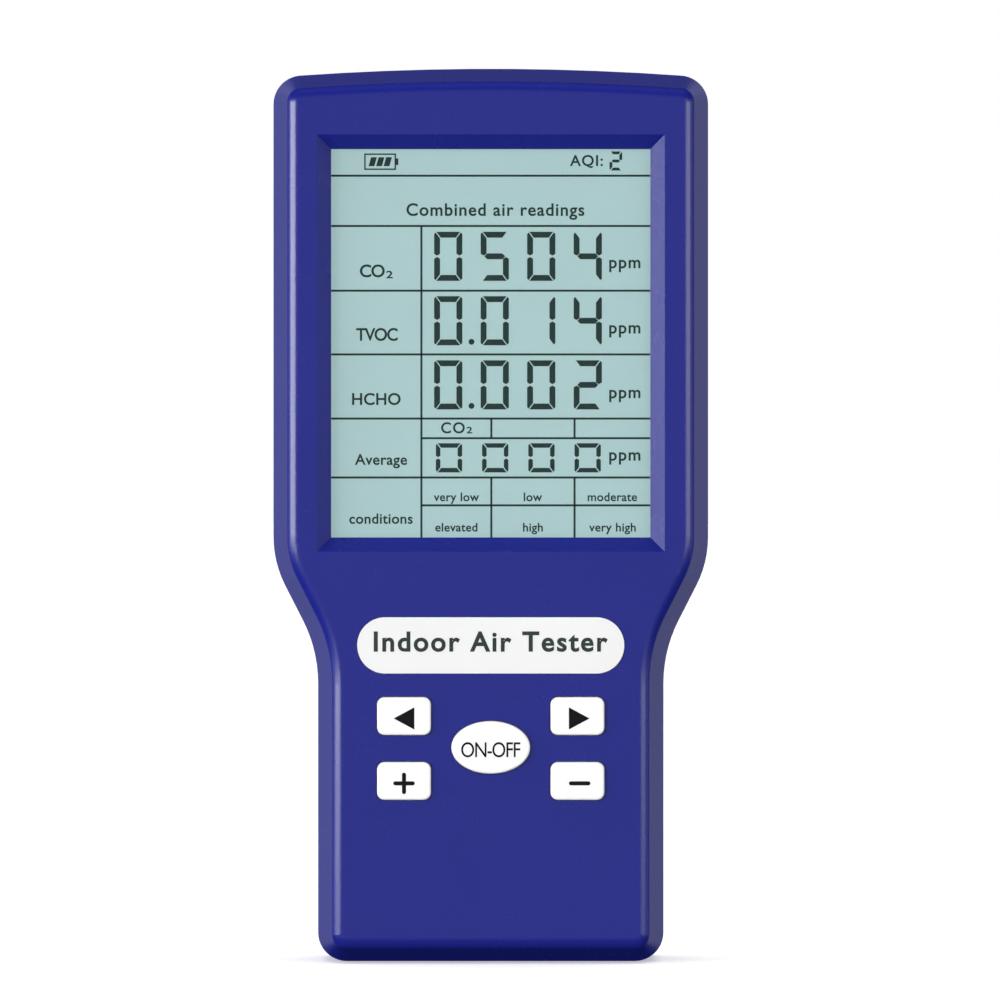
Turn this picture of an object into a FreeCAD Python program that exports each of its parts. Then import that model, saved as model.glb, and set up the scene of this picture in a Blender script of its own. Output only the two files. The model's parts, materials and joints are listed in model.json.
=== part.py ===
"""Handheld air quality monitor: a two-shell case with a segment display, five keys and a fold-out stand.

Frame: +Z up, the front faces -Y, the origin is the middle of the base. Lengths are in millimetres.
Every driving dimension is a cell of the sheet "Sizes"; the objects read them through expressions.
"""
import FreeCAD, Part
import Sketcher
import math
import os

Vector = FreeCAD.Vector

# Driving dimensions: name, value. Levels are heights above the base, depths are places along Y. The
# overshoot is how far a cut that passes through a wall goes on beyond it.
SIZES = {
    # case outline, seen from the front
    "case_height": 155,
    "head_width": 75.5,
    "grip_width": 60,
    "arch_radius": 470,
    "top_corner": 5,
    "low_corner": 5,
    "head_side_low": 73.7,
    "waist_high": 18.5,
    "waist_low": 24,
    "waist_angle": 27,
    # case section
    "front_face": -17.2,
    "back_face": 17.5,
    "seam": -7,
    "front_slope": 16.3,
    "front_edge": 2,
    "back_edge": 4,
    "seam_edge": 0.25,
    "wall": 2.2,
    "front_wall": 2.9,
    "overshoot": 1,
    "lip_inset": 1.25,
    "lip_depth": 1.2,
    "lip_gap": 0.1,
    # display opening and stack
    "view_level": 107.2,
    "view_width": 55.2,
    "view_height": 67.15,
    "bezel_rim": 2.45,
    "bezel_depth": 2.4,
    "window_width": 58.6,
    "window_height": 70.8,
    "window_thick": 1,
    "window_rib": 1.2,
    "window_gap": 0.15,
    "window_corner": 1,
    "glass_width": 58,
    "glass_level": 105.3,
    "glass_height": 73.2,
    "glass_thick": 1.1,
    "glass_front": -12.9,
    "rear_glass_level": 107.1,
    "rear_glass_height": 69.6,
    "film_width": 56.8,
    "film_height": 68.5,
    "film_thick": 0.2,
    "reflector_thick": 0.3,
    "guide_width": 56.9,
    "guide_offset": 0.5,
    "guide_thick": 2.9,
    "led_strip_offset": -28.6,
    "led_strip_width": 1,
    "led_strip_height": 60,
    "holder_gap": 0.2,
    "holder_rim": 1,
    "holder_front": -12.7,
    "holder_floor": -7.5,
    "holder_window_width": 52,
    "holder_window_height": 64,
    "contact_level": 70.4,
    "contact_width": 54,
    "contact_height": 2,
    # board
    "board_front": -5.6,
    "board_thick": 1.6,
    "board_inset": 3.3,
    "board_top": 142,
    "board_low": 14,
    "board_screw_hole": 1.15,
    # keys
    "key_proud": 0.8,
    "key_width": 9.3,
    "key_height": 6.55,
    "key_corner": 1.3,
    "key_edge": 0.4,
    "key_gap": 0.15,
    "key_column": 14.97,
    "key_row_high": 42.8,
    "key_row_low": 31.6,
    "power_level": 37.4,
    "power_width": 13.6,
    "power_height": 9.1,
    "flange_rim": 1.2,
    "flange_thick": 1,
    "flange_gap": 0.1,
    "post_radius": 1.6,
    "switch_side": 6,
    "switch_depth": 3.5,
    "switch_cover": 0.25,
    "plunger_radius": 1.7,
    "plunger_proud": 1,
    "plunger_sunk": 0.7,
    "plunger_gap": 0.1,
    "post_gap": 0.05,
    "key_travel": 0.5,
    # title badge
    "badge_width": 46.1,
    "badge_height": 9.7,
    "badge_corner": 4.8,
    "badge_level": 55,
    "badge_gap": 0.05,
    "badge_sunk": 0.4,
    "badge_proud": 0.2,
    # fastening
    "high_boss_column": 29.5,
    "high_boss_level": 147,
    "low_boss_column": 21.5,
    "low_boss_level": 9.5,
    "front_boss": 2.8,
    "rear_boss": 3.6,
    "well_radius": 2.6,
    "screw_seat": 4,
    "screw_hole": 1.45,
    "screw_radius": 1.25,
    "screw_length": 16.5,
    "screw_head": 2.35,
    "screw_head_thick": 1.8,
    "cross_length": 1.2,
    "cross_width": 0.26,
    "pilot_radius": 1.27,
    "pilot_depth": 6,
    "board_boss": 2.4,
    "board_boss_high_column": 26,
    "board_boss_high_level": 62,
    "board_boss_low_column": 22,
    "board_boss_low_level": 19,
    "small_screw_radius": 0.83,
    "small_screw_length": 7,
    "small_screw_head": 1.9,
    "small_screw_head_thick": 1.4,
    "small_pilot": 0.85,
    # stand
    "stand_width": 34,
    "stand_thick": 2.4,
    "stand_face": 17.3,
    "stand_tip": 14,
    "stand_gap": 0.4,
    "pivot_level": 96,
    "pivot_depth": 15.2,
    "barrel_radius": 2.1,
    "stub_radius": 1.5,
    "stub_length": 1.6,
    "stub_gap": 0.05,
    "stub_end_gap": 0.5,
    "heel_length": 4,
    "heel_thick": 1.4,
    "recess_floor": 14.4,
    "heel_floor": 12.8,
    "heel_pocket_low": 92.5,
    "heel_pocket_high": 100.9,
    "bump_wall": 2,
    "bump_side": 3.2,
    "scoop_radius": 5,
    "scoop_out": 2.5,
    "scoop_width": 16,
    "panel_side": 4.5,
    "panel_end": 8,
    "panel_corner": 3,
    "panel_sunk": 0.6,
    # vents and socket
    "vent_column": 18,
    "vent_width": 24,
    "vent_height": 1.6,
    "vent_corner": 0.75,
    "vent_low_level": 113,
    "vent_pitch": 4,
    "vent_rows": 7,
    "top_vent_width": 1.8,
    "top_vent_depth": 9,
    "top_vent_pitch": 4.2,
    "top_vent_count": 9,
    "top_vent_middle": 5,
    "top_vent_corner": 0.85,
    "screen_thick": 0.4,
    "screen_width": 61,
    "screen_height": 30,
    "socket_level": 30,
    "socket_width": 8.94,
    "socket_height": 3.26,
    "socket_length": 7.3,
    "socket_wall": 0.3,
    "socket_end": 27.4,
    "port_gap": 0.35,
    "port_corner": 1.6,
    "port_rim": 1.5,
    "port_rim_depth": 0.8,
    "socket_corner": 1.5,
    "tongue_width": 6.7,
    "tongue_thick": 0.7,
    "tongue_inset": 0.8,
    # battery
    "cell_width": 34,
    "cell_height": 50,
    "cell_thick": 8,
    "cell_corner": 1.5,
    "cell_edge": 1,
    "cell_level": 42,
    "tape_thick": 0.8,
    "tape_side": 3,
    "tape_end": 4,
    "lead_radius": 0.6,
    "lead_pitch": 2,
    "plug_column": -12,
    "plug_level": 80,
    "plug_width": 5.2,
    "plug_thick": 3.4,
    "plug_height": 4.2,
    "header_width": 6,
    "header_thick": 3,
    "header_height": 5,
    "lead_depth": 7.6,
    "lead_bend": 4.5,
    # sensors
    "gas_column": -15.5,
    "gas_level": 128,
    "gas_width": 32,
    "gas_height": 20,
    "gas_thick": 9,
    "stand_off": 2,
    "membrane_offset": 9,
    "membrane_radius": 3.5,
    "membrane_thick": 0.4,
    "gas_pin_radius": 0.4,
    "gas_pin_pitch": 5.08,
    "gas_pin_inset": 2,
    "cell_column": 19,
    "cell_centre": 130,
    "cell_radius": 9,
    "cell_depth": 9,
    "filter_radius": 5,
    "cell_pin_radius": 0.5,
    "cell_pin_pitch": 5,
    "cell_pin_drop": 4,
    "can_column": 20,
    "can_centre": 112,
    "can_radius": 4.1,
    "can_flange": 4.9,
    "can_flange_thick": 0.8,
    "can_depth": 6.5,
    "sounder_column": -22,
    "sounder_level": 107,
    "sounder_radius": 6,
    "sounder_depth": 8.5,
    "mouth_radius": 1,
    "mouth_depth": 1,
    # rows of small parts
    "row_pitch": 2.6,
}

DOC = FreeCAD.newDocument("air_quality_monitor")
SHEET = DOC.addObject("Spreadsheet::Sheet", "Sizes")
SUB_PARTS = {}


def fill_sheet():
    """Writes every driving dimension as a plain number with an alias."""
    for row, (name, value) in enumerate(SIZES.items(), 1):
        SHEET.set(f"A{row}", name)
        SHEET.set(f"B{row}", str(value))
        SHEET.setAlias(f"B{row}", name)
    DOC.recompute()


def full(text):
    """The expression with each sheet name spelled out, so that front_face becomes Sizes.front_face."""
    out = []
    word = ""
    for mark in str(text) + " ":
        if mark.isalnum() or mark in "_.":
            word += mark
            continue
        out.append("Sizes." + word if word in SIZES else word)
        out.append(mark)
        word = ""
    return "".join(out).strip()


def number(text):
    """The present value of an expression."""
    value = SHEET.evalExpression(full(text))
    return float(getattr(value, "Value", value))


def keep(label, item):
    """Names an object as a sub-part, which is exported under that name."""
    item.Label = label
    SUB_PARTS[label] = item
    return item


# ---------------------------------------------------------------- sketches


def new_body(label):
    return keep(label, DOC.addObject("PartDesign::Body", label))


def origin_plane(body, role):
    return next(f for f in body.Origin.OriginFeatures if f.Role == role)


def new_sketch(body, name, role="XZ_Plane", across="0", up="0", away="0"):
    """A sketch on one of the body's origin planes, moved across, up and away from it."""
    sketch = body.newObject("Sketcher::SketchObject", name)
    sketch.AttachmentSupport = [(origin_plane(body, role), "")]
    sketch.MapMode = "FlatFace"
    for axis, text in zip("xyz", (across, up, away)):
        sketch.setExpression(f"AttachmentOffset.Base.{axis}", full(text))
    return sketch


def front_sketch(body, name, depth, across="0", level="0"):
    """A sketch seen from the front, at a depth along Y: its X is the frame's X, its Y the frame's Z."""
    return new_sketch(body, name, "XZ_Plane", across, level, f"-({depth})")


def dimension(sketch, name, text, kind, *where):
    """A named dimension whose value follows an expression."""
    value = number(text)
    if kind == "Angle":
        value = math.radians(value)
        text = f"({text}) * 1deg"
    index = sketch.addConstraint(Sketcher.Constraint(kind, *where, value))
    sketch.renameConstraint(index, name)
    sketch.setExpression(f"Constraints.{name}", full(text))


def arc_about(centre, start, end):
    """The anticlockwise arc about a centre, from one point to another."""
    radius = math.hypot(start[0] - centre[0], start[1] - centre[1])
    angles = [math.atan2(p[1] - centre[1], p[0] - centre[0]) for p in (start, end)]
    circle = Part.Circle(Vector(centre[0], centre[1], 0), Vector(0, 0, 1), radius)
    return Part.ArcOfCircle(circle, *angles)


def segment(start, end):
    return Part.LineSegment(Vector(start[0], start[1], 0), Vector(end[0], end[1], 0))


def mirrored(point):
    return (-point[0], point[1])


def draw_outline(sketch, inset="0"):
    """The case outline, moved inwards by an inset: straight base, waisted sides and an arched top."""
    gap = number(inset)
    tilt = math.radians(number("waist_angle"))
    grip = number("grip_width") / 2 - gap
    head = number("head_width") / 2 - gap
    low, top = number("low_corner") - gap, number("top_corner") - gap
    high, hollow = number("waist_high") - gap, number("waist_low") + gap
    arch = number("arch_radius") - gap
    arch_centre = number("case_height - arch_radius")
    side_low = number("head_side_low")
    run = (head - grip) - (high + hollow) * (1 - math.cos(tilt))
    fall = (high + hollow) * math.sin(tilt) + run / math.tan(tilt)
    grip_high = side_low - fall
    top_level = arch_centre + math.sqrt((arch - top) ** 2 - (head - top) ** 2)
    lean = math.atan2(top_level - arch_centre, head - top)

    base = (grip - low, gap)
    grip_start = (grip, gap + low)
    grip_end = (grip, grip_high)
    slope_start = (grip + hollow * (1 - math.cos(tilt)), grip_high + hollow * math.sin(tilt))
    slope_end = (head - high * (1 - math.cos(tilt)), side_low - high * math.sin(tilt))
    head_start = (head, side_low)
    head_end = (head, top_level)
    arch_end = (arch * math.cos(lean), arch_centre + arch * math.sin(lean))
    low_centre = (grip - low, gap + low)
    hollow_centre = (grip + hollow, grip_high)
    high_centre = (head - high, side_low)
    top_centre = (head - top, top_level)

    right = [
        arc_about(low_centre, base, grip_start),
        segment(grip_start, grip_end),
        arc_about(hollow_centre, slope_start, grip_end),
        segment(slope_start, slope_end),
        arc_about(high_centre, slope_end, head_start),
        segment(head_start, head_end),
        arc_about(top_centre, head_end, arch_end),
    ]
    left = [
        arc_about(mirrored(top_centre), mirrored(arch_end), mirrored(head_end)),
        segment(mirrored(head_end), mirrored(head_start)),
        arc_about(mirrored(high_centre), mirrored(head_start), mirrored(slope_end)),
        segment(mirrored(slope_start), mirrored(slope_end)),
        arc_about(mirrored(hollow_centre), mirrored(grip_end), mirrored(slope_start)),
        segment(mirrored(grip_end), mirrored(grip_start)),
        arc_about(mirrored(low_centre), mirrored(grip_start), mirrored(base)),
    ]
    crown = arc_about((0, arch_centre), arch_end, mirrored(arch_end))
    sketch.addGeometry([segment(mirrored(base), base), *right, crown, *left], False)
    backwards = (3, 12, 13)
    for here in range(16):
        following = (here + 1) % 16
        end = 1 if here in backwards else 2
        start = 2 if following in backwards else 1
        sketch.addConstraint(Sketcher.Constraint("Tangent", here, end, following, start))
    for side in (2, 6, 10, 14):
        sketch.addConstraint(Sketcher.Constraint("Vertical", side))
    for pair in ((1, 15), (3, 13), (5, 11), (7, 9), (2, 14), (4, 12)):
        sketch.addConstraint(Sketcher.Constraint("Equal", *pair))
    sketch.addConstraint(Sketcher.Constraint("Symmetric", 0, 1, 0, 2, -2))
    sketch.addConstraint(Sketcher.Constraint("PointOnObject", 8, 3, -2))
    summit = sketch.addGeometry(Part.Point(Vector(0, arch_centre + arch, 0)), True)
    sketch.addConstraint(Sketcher.Constraint("PointOnObject", summit, 1, -2))
    sketch.addConstraint(Sketcher.Constraint("PointOnObject", summit, 1, 8))
    if gap:
        dimension(sketch, "base_level", inset, "DistanceY", -1, 1, 0, 1)
    else:
        sketch.addConstraint(Sketcher.Constraint("PointOnObject", 0, 1, -1))
    dimension(sketch, "low_corner", f"low_corner - ({inset})", "Radius", 1)
    dimension(sketch, "waist_low", f"waist_low + ({inset})", "Radius", 3)
    dimension(sketch, "waist_high", f"waist_high - ({inset})", "Radius", 5)
    dimension(sketch, "top_corner", f"top_corner - ({inset})", "Radius", 7)
    dimension(sketch, "arch", f"arch_radius - ({inset})", "Radius", 8)
    dimension(sketch, "grip_width", f"grip_width - 2 * ({inset})", "DistanceX", 14, 1, 2, 1)
    dimension(sketch, "head_width", f"head_width - 2 * ({inset})", "DistanceX", 10, 1, 6, 1)
    dimension(sketch, "summit", f"case_height - ({inset})", "DistanceY", -1, 1, summit, 1)
    dimension(sketch, "side_low", "head_side_low", "DistanceY", -1, 1, 6, 1)
    dimension(sketch, "slope_right", "90 - waist_angle", "Angle", 4)
    dimension(sketch, "slope_left", "90 + waist_angle", "Angle", 12)
    return sketch


def draw_rectangle(sketch, width, height, corner):
    """A rectangle with rounded corners, centred on the sketch's own origin."""
    first = sketch.GeometryCount
    half_wide, half_high, radius = number(width) / 2, number(height) / 2, number(corner)
    near_wide, near_high = half_wide - radius, half_high - radius
    turns = [
        ((near_wide, -near_high), (near_wide, -half_high), (half_wide, -near_high)),
        ((near_wide, near_high), (half_wide, near_high), (near_wide, half_high)),
        ((-near_wide, near_high), (-near_wide, half_high), (-half_wide, near_high)),
        ((-near_wide, -near_high), (-half_wide, -near_high), (-near_wide, -half_high)),
    ]
    shapes = []
    for index, (centre, start, end) in enumerate(turns):
        shapes.append(segment(turns[index - 1][2], start))
        shapes.append(arc_about(centre, start, end))
    sketch.addGeometry(shapes, False)
    bottom, right, top, left = (first + step for step in (0, 2, 4, 6))
    for step in range(8):
        here, following = first + step, first + (step + 1) % 8
        sketch.addConstraint(Sketcher.Constraint("Tangent", here, 2, following, 1))
    for side, kind in ((bottom, "Horizontal"), (top, "Horizontal"), (right, "Vertical"), (left, "Vertical")):
        sketch.addConstraint(Sketcher.Constraint(kind, side))
    for step in (3, 5, 7):
        sketch.addConstraint(Sketcher.Constraint("Equal", first + 1, first + step))
    sketch.addConstraint(Sketcher.Constraint("Symmetric", first + 1, 3, first + 5, 3, -1, 1))
    tag = f"_{first}"
    dimension(sketch, "corner" + tag, corner, "Radius", first + 1)
    dimension(sketch, "width" + tag, width, "DistanceX", left, 2, right, 1)
    dimension(sketch, "height" + tag, height, "DistanceY", bottom, 2, top, 1)
    return sketch


def draw_box(sketch, width, height):
    """A sharp-cornered rectangle, centred on the sketch's own origin."""
    wide, high = number(width) / 2, number(height) / 2
    corners = [(-wide, -high), (wide, -high), (wide, high), (-wide, high)]
    sides = [segment(corner, corners[(step + 1) % 4]) for step, corner in enumerate(corners)]
    sketch.addGeometry(sides, False)
    for step in range(4):
        sketch.addConstraint(Sketcher.Constraint("Coincident", step, 2, (step + 1) % 4, 1))
        sketch.addConstraint(Sketcher.Constraint(("Horizontal", "Vertical")[step % 2], step))
    sketch.addConstraint(Sketcher.Constraint("Symmetric", 0, 1, 2, 1, -1, 1))
    dimension(sketch, "width", width, "DistanceX", 0, 1, 0, 2)
    dimension(sketch, "height", height, "DistanceY", 1, 1, 1, 2)
    return sketch


def draw_circle(sketch, radius, across="0", up="0"):
    """A circle placed from the sketch's own origin."""
    centre = Vector(number(across), number(up), 0)
    index = sketch.addGeometry(Part.Circle(centre, Vector(0, 0, 1), number(radius)), False)
    dimension(sketch, f"radius_{index}", radius, "Radius", index)
    if not centre.Length:
        sketch.addConstraint(Sketcher.Constraint("Coincident", index, 3, -1, 1))
        return sketch
    for name, kind, text, value in (
        ("across", "DistanceX", across, centre.x),
        ("up", "DistanceY", up, centre.y),
    ):
        ends = (-1, 1, index, 3) if value > 0 else (index, 3, -1, 1)
        dimension(sketch, f"{name}_{index}", text if value > 0 else f"-({text})", kind, *ends)
    return sketch


def draw_ellipse(sketch, width, height):
    """An upright ellipse centred on the sketch's own origin."""
    half_wide, half_high = number(width) / 2, number(height) / 2
    ends = (Vector(half_wide, 0, 0), Vector(0, half_high, 0), Vector(0, 0, 0))
    index = sketch.addGeometry(Part.Ellipse(*ends), False)
    sketch.exposeInternalGeometry(index)
    sketch.addConstraint(Sketcher.Constraint("Coincident", index, 3, -1, 1))
    sketch.addConstraint(Sketcher.Constraint("Horizontal", index + 1))
    dimension(sketch, "width", width, "Distance", index + 1)
    dimension(sketch, "height", height, "Distance", index + 2)
    return sketch


# ---------------------------------------------------------------- solid features


def check_change(body, before, grows):
    """Stops the build if a feature failed, or changed the volume the wrong way."""
    DOC.recompute()
    after = body.Shape.Volume
    if body.Tip.State and "Invalid" in body.Tip.State or (after <= before) == grows:
        raise RuntimeError(f"{body.Tip.Name}: volume {before:.2f} became {after:.2f}")


def volume(body):
    """The volume of a body so far, nothing before its first solid feature."""
    DOC.recompute()
    return 0 if body.Shape.isNull() else body.Shape.Volume


def extrude(body, kind, sketch, length, reverse=False, slope=None, middle=False):
    before = volume(body)
    feature = body.newObject(kind, sketch.Name + "_solid")
    feature.Profile = sketch
    feature.Reversed = reverse
    if middle:
        feature.SideType = "Symmetric"
    feature.setExpression("Length", full(length))
    if slope:
        feature.setExpression("TaperAngle", full(slope))
    check_change(body, before, kind == "PartDesign::Pad")
    return feature


def pad(body, sketch, length, **more):
    """Adds material from the sketch along its normal, which is towards the front for a front sketch."""
    return extrude(body, "PartDesign::Pad", sketch, length, **more)


def pocket(body, sketch, length, **more):
    """Cuts against the sketch's normal, which is towards the back for a front sketch."""
    return extrude(body, "PartDesign::Pocket", sketch, length, **more)


def edges_where(shape, test):
    return [f"Edge{n}" for n, edge in enumerate(shape.Edges, 1) if test(edge)]


def flat_at(depth):
    """A test for edges that lie at one depth along Y."""
    place = number(depth)
    return lambda edge: all(abs(v.Point.y - place) < 1e-4 for v in edge.Vertexes)


def dress(body, kind, edges, prop, size):
    base = body.Tip
    feature = body.newObject(kind, f"{body.Name}_{kind[12:].lower()}")
    feature.Base = (base, edges)
    feature.setExpression(prop, full(size))
    check_change(body, base.Shape.Volume, False)
    return feature


def fillet(body, edges, radius):
    return dress(body, "PartDesign::Fillet", edges, "Radius", radius)


def chamfer(body, edges, size):
    return dress(body, "PartDesign::Chamfer", edges, "Size", size)


def repeat(body, feature, axis, span, count):
    """Repeats a feature along one of its sketch's axes, over a whole span."""
    before = body.Shape.Volume
    pattern = body.newObject("PartDesign::LinearPattern", feature.Name + "_row")
    pattern.Originals = [feature]
    pattern.Direction = (feature.Profile[0], [axis])
    pattern.setExpression("Length", full(span))
    pattern.setExpression("Occurrences", full(count))
    body.Tip = pattern
    check_change(body, before, False)
    return pattern


# ---------------------------------------------------------------- plain solids


def place(item, across, depth, level):
    for axis, text in zip("xyz", (across, depth, level)):
        item.setExpression(f"Placement.Base.{axis}", full(text))
    return item


def block(name, middle, depth, level, width, thick, height):
    """A box given by its middle across, its front depth and its middle level."""
    box = DOC.addObject("Part::Box", name)
    for prop, text in zip(("Length", "Width", "Height"), (width, thick, height)):
        box.setExpression(prop, full(text))
    return place(box, f"({middle}) - ({width}) / 2", depth, f"({level}) - ({height}) / 2")


def disc(name, across, depth, level, radius, thick):
    """A cylinder along Y that starts at a depth and goes towards the back."""
    drum = DOC.addObject("Part::Cylinder", name)
    drum.Placement.Rotation = FreeCAD.Rotation(Vector(1, 0, 0), -90)
    drum.setExpression("Radius", full(radius))
    drum.setExpression("Height", full(thick))
    return place(drum, across, depth, level)


def combine(kind, name, items):
    item = DOC.addObject(kind, name)
    setattr(item, "Links" if kind == "Part::Compound" else "Shapes", items)
    return item


def fuse(name, *items):
    return combine("Part::MultiFuse", name, list(items))


def group(name, *items):
    return combine("Part::Compound", name, list(items))


def cut(name, base, tool):
    item = DOC.addObject("Part::Cut", name)
    item.Base, item.Tool = base, tool
    return item


# ---------------------------------------------------------------- case


def four_places(high_column, high_level, low_column, low_level):
    """Two places at a high level and two at a low one, mirrored about the middle."""
    for sign in ("", "-"):
        yield f"{sign}{high_column}", high_level
        yield f"{sign}{low_column}", low_level


CASE_BOSSES = list(four_places("high_boss_column", "high_boss_level", "low_boss_column", "low_boss_level"))
BOARD_BOSSES = list(
    four_places(
        "board_boss_high_column", "board_boss_high_level", "board_boss_low_column", "board_boss_low_level"
    )
)
KEYS = {
    "left": ("-key_column", "key_row_high"),
    "right": ("key_column", "key_row_high"),
    "plus": ("-key_column", "key_row_low"),
    "minus": ("key_column", "key_row_low"),
    "power": ("0", "power_level"),
}
INNER_FRONT = "front_face + front_wall"


def circles(body, name, depth, radius, places):
    sketch = front_sketch(body, name, depth)
    for across, level in places:
        draw_circle(sketch, radius, across, level)
    return sketch


def draw_key_shape(sketch, name, grow):
    """A key's outline, made larger by an amount on every side."""
    if name == "power":
        return draw_ellipse(sketch, f"power_width + 2 * ({grow})", f"power_height + 2 * ({grow})")
    width, height = f"key_width + 2 * ({grow})", f"key_height + 2 * ({grow})"
    return draw_rectangle(sketch, width, height, f"key_corner + ({grow})")


def make_front_shell():
    body = new_body("front_shell")
    shell_depth = "seam - front_face"
    inner_depth = f"seam - ({INNER_FRONT})"
    pad(body, draw_outline(front_sketch(body, "front_block", "seam")), shell_depth, slope="-front_slope")
    fillet(body, edges_where(body.Shape, flat_at("front_face")), "front_edge")
    chamfer(body, edges_where(body.Shape, flat_at("seam")), "seam_edge")
    hollow = draw_outline(front_sketch(body, "front_hollow", "seam"), "wall")
    pocket(body, hollow, inner_depth, reverse=True, slope="-front_slope")
    rebate = draw_outline(front_sketch(body, "front_rebate", "seam"), "lip_inset - lip_gap")
    pocket(body, rebate, "lip_depth + lip_gap", reverse=True)
    cut_display_opening(body)
    cut_key_openings(body)
    bosses = circles(body, "case_bosses", INNER_FRONT, "front_boss", CASE_BOSSES)
    pad(body, bosses, inner_depth, reverse=True)
    pilots = circles(body, "case_pilots", "seam", "pilot_radius", CASE_BOSSES)
    pocket(body, pilots, "pilot_depth", reverse=True)
    bosses = circles(body, "board_bosses", INNER_FRONT, "board_boss", BOARD_BOSSES)
    pad(body, bosses, f"board_front - ({INNER_FRONT})", reverse=True)
    pilots = circles(body, "board_pilots", "board_front", "small_pilot", BOARD_BOSSES)
    pocket(body, pilots, "pilot_depth", reverse=True)


def cut_display_opening(body):
    """The sloped bezel, the opening behind it and the rib that holds the window."""
    bezel = front_sketch(body, "bezel", "front_face", level="view_level")
    draw_box(bezel, "view_width + 2 * bezel_rim", "view_height + 2 * bezel_rim")
    pocket(body, bezel, "bezel_depth", slope="-atan(bezel_rim / bezel_depth)")
    view = front_sketch(body, "view", "front_face", level="view_level")
    pocket(body, draw_box(view, "view_width", "view_height"), "front_wall")
    rib = front_sketch(body, "window_rib", INNER_FRONT, level="view_level")
    outer = ("window_gap + window_rib", "window_corner + window_rib")
    inner = ("window_gap", "window_corner")
    for rim, corner in (outer, inner):
        draw_rectangle(rib, f"window_width + 2 * ({rim})", f"window_height + 2 * ({rim})", corner)
    pad(body, rib, "window_thick", reverse=True)


def cut_key_openings(body):
    """Five openings for the keys and the shallow seat of the title badge."""
    for name, (across, level) in KEYS.items():
        opening = front_sketch(body, name + "_opening", "front_face", across, level)
        pocket(body, draw_key_shape(opening, name, "key_gap"), "front_wall")
    seat = front_sketch(body, "badge_seat", "front_face", level="badge_level")
    draw_rectangle(seat, "badge_width + 2 * badge_gap", "badge_height + 2 * badge_gap", "badge_corner")
    pocket(body, seat, "badge_sunk")


def make_rear_shell():
    body = new_body("rear_shell")
    shell_depth = "back_face - seam"
    block_sketch = draw_outline(front_sketch(body, "rear_block", "seam"))
    pad(body, block_sketch, shell_depth, reverse=True)
    fillet(body, edges_where(body.Shape, flat_at("back_face")), "back_edge")
    chamfer(body, edges_where(body.Shape, flat_at("seam")), "seam_edge")
    pad(body, draw_outline(front_sketch(body, "tongue", "seam"), "lip_inset"), "lip_depth")
    hollow = draw_outline(front_sketch(body, "rear_hollow", "seam - lip_depth"), "wall")
    pocket(body, hollow, f"{shell_depth} + lip_depth - wall")
    bosses = circles(body, "rear_bosses", "seam", "rear_boss", CASE_BOSSES)
    pad(body, bosses, f"{shell_depth} - wall / 2", reverse=True)
    cut_stand_recess(body)
    wells = circles(body, "screw_wells", "back_face", "well_radius", CASE_BOSSES)
    pocket(body, wells, "back_face - screw_seat", reverse=True)
    holes = circles(body, "screw_holes", "screw_seat", "screw_hole", CASE_BOSSES)
    pocket(body, holes, "screw_seat - seam + overshoot", reverse=True)
    cut_back_vents(body)
    cut_top_vents(body)
    cut_port(body)


def stand_box(body, name, depth, low, high, rim):
    """A rectangle as wide as the stand's recess, between two levels, grown by a rim."""
    sketch = front_sketch(body, name, depth, level=f"(({low}) + ({high})) / 2")
    width = f"stand_width + 2 * stand_gap + 2 * ({rim})"
    return draw_box(sketch, width, f"({high}) - ({low}) + 2 * ({rim})")


def cut_stand_recess(body):
    """The pocket that the stand folds into, with thicker walls around it on the inside."""
    low, high = "stand_tip - stand_gap", "heel_pocket_high"
    for name, floor, start in (("leg", "recess_floor", low), ("heel", "heel_floor", "heel_pocket_low")):
        inside = f"{floor} - bump_wall"
        bump = stand_box(body, name + "_bump", inside, start, high, "bump_side")
        pad(body, bump, f"back_face - wall / 2 - ({inside})", reverse=True)
    for name, floor, start in (("leg", "recess_floor", low), ("heel", "heel_floor", "heel_pocket_low")):
        recess = stand_box(body, name + "_recess", "back_face", start, high, "0")
        pocket(body, recess, f"back_face - {floor}", reverse=True)
    hinge = new_sketch(body, "hinge_holes", "YZ_Plane", "pivot_depth", "pivot_level")
    draw_circle(hinge, "stub_radius + stub_gap")
    pocket(body, hinge, "stand_width + 2 * (stub_length + stub_end_gap)", middle=True)
    scoop = new_sketch(body, "finger_scoop", "YZ_Plane", "back_face + scoop_out", "stand_tip")
    pocket(body, draw_circle(scoop, "scoop_radius"), "scoop_width", middle=True)


def cut_back_vents(body):
    for side, across in (("left", "-vent_column"), ("right", "vent_column")):
        slot = front_sketch(body, side + "_vent", "back_face", across, "vent_low_level")
        draw_rectangle(slot, "vent_width", "vent_height", "vent_corner")
        first = pocket(body, slot, "wall + overshoot", reverse=True)
        repeat(body, first, "V_Axis", "vent_pitch * (vent_rows - 1)", "vent_rows")


def cut_top_vents(body):
    span = "top_vent_pitch * (top_vent_count - 1)"
    slot = new_sketch(body, "top_vent", "XY_Plane", f"-({span}) / 2", "top_vent_middle", "case_height")
    draw_rectangle(slot, "top_vent_width", "top_vent_depth", "top_vent_corner")
    first = pocket(body, slot, "wall + overshoot")
    repeat(body, first, "H_Axis", span, "top_vent_count")


def cut_port(body):
    """The opening for the charging socket, with a shallow seat for the plug's grip."""
    middle = "board_front + board_thick + socket_height / 2"
    outside = "grip_width / 2 + overshoot"
    seat = ("port_seat", "port_rim", "overshoot + port_rim_depth")
    port = ("port", "port_gap", "wall + 2 * overshoot")
    for name, rim, length in (seat, port):
        sketch = new_sketch(body, name, "YZ_Plane", middle, "socket_level", outside)
        draw_rectangle(sketch, f"socket_height + 2 * {rim}", f"socket_width + 2 * {rim}", "port_corner")
        pocket(body, sketch, length)


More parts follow.
